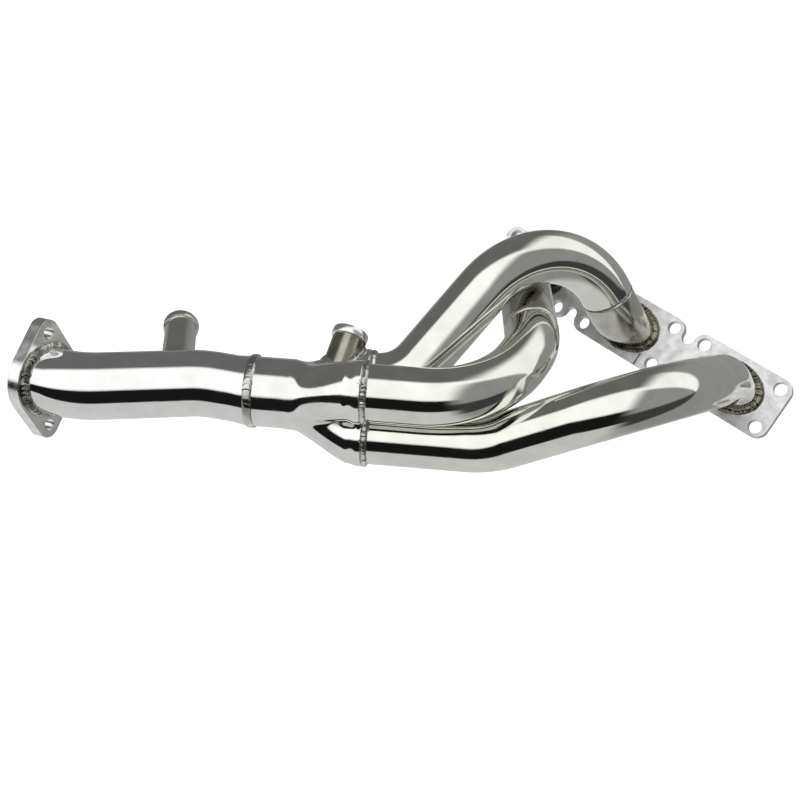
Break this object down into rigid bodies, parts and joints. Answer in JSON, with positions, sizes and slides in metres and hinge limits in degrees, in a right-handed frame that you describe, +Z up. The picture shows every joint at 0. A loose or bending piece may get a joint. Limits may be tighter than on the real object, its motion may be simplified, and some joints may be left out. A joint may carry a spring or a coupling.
{
  "type": "exhaust manifold",
  "caption": "Tubular exhaust manifold: oval-port head flange, bent runners, merge collector, outlet pipe with two-bolt flange and sensor bosses.",
  "frame": {"origin": "centre of the middle port on the head mating face", "axes": "+X along the row of ports towards the port whose runner is lowest, +Y into the cylinder head, +Z up"},
  "size_m": [0.3793, 0.3147, 0.3142],
  "materials": {
    "plate": "laser-cut plate, fine-brushed, matte",
    "tube": "mirror-polished stainless tube",
    "boss": "turned stainless",
    "weld": "silver rippled weld bead",
    "tinted_weld": "dark straw and brown heat-tinted weld bead"
  },
  "bodies": {
    "root": {"head_flange": "plate", "outlet_flange": "plate", "runner_1_tube": "tube", "runner_2_tube": "tube", "runner_2_elbow": "tube", "runner_3_tube": "tube", "runner_3_elbow": "tube", "collector": "tube", "outlet_pipe": "tube", "outlet_boss_stem": "boss", "outlet_boss_ring": "boss", "collector_boss_stem": "boss", "collector_boss_ring": "boss", "port_1_weld": "tinted_weld", "port_2_weld": "tinted_weld", "port_3_weld": "tinted_weld", "collector_weld_1": "weld", "collector_weld_2": "weld", "collector_weld_3": "weld", "runner_2_weld": "weld", "runner_3_weld": "weld", "outlet_joint_weld": "weld", "outlet_flange_weld": "weld", "outlet_boss_weld": "weld", "collector_boss_weld": "weld"}
  },
  "joints": []
}
